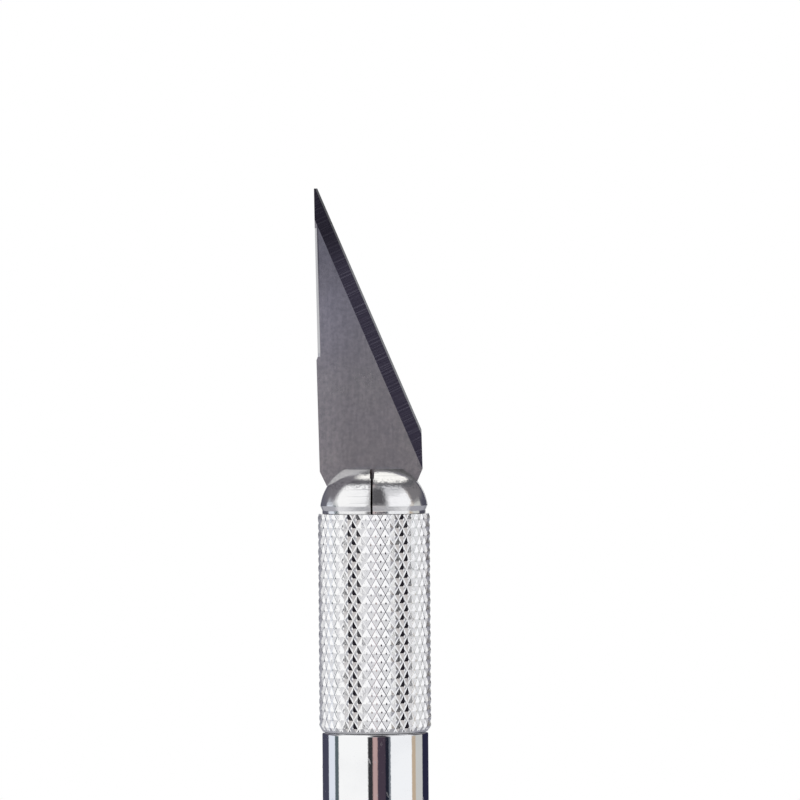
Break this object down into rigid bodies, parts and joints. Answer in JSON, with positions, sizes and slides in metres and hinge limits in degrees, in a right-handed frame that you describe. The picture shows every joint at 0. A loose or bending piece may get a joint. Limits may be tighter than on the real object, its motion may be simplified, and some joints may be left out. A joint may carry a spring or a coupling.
{
  "type": "hobby craft knife",
  "caption": "Slim round-handled craft knife: fine-point blade in a split domed collet, a knurled clamping collar and a smooth polished barrel.",
  "frame": {"origin": "centre of the barrel's flat tail face", "axes": "+Z along the handle to the blade's tip, +X to the side of the cutting edge, the blade's faces look along -Y and +Y"},
  "size_m": [0.0085, 0.0084, 0.1407],
  "materials": {
    "barrel_polished": "mirror polished",
    "collar_knurled": "bright, diamond knurled",
    "collet_turned": "satin, as turned",
    "blade_steel": "fine brushed carbon steel with a darker ground bevel"
  },
  "bodies": {
    "handle": {"barrel": "barrel_polished"},
    "collar": {"collar": "collar_knurled"},
    "chuck": {"collet": "collet_turned"},
    "blade": {"blade": "blade_steel"}
  },
  "joints": [
    {"name": "collar_turn", "type": "hinge", "parent": "handle", "child": "collar", "pos_m": [0, 0, 0.108], "axis": [0, 0, 1], "range_deg": [0, 360]},
    {"name": "collet_draw", "type": "slide", "parent": "collar", "child": "chuck", "axis": [0, 0, 1], "range_m": [0, 0.0007]},
    {"name": "blade_pull", "type": "slide", "parent": "chuck", "child": "blade", "axis": [0, 0, 1], "range_m": [0, 0.014]}
  ],
  "couplings": [
    {"joint": "collar_turn", "follows": "collet_draw", "rad_per_m": 8975.9}
  ]
}
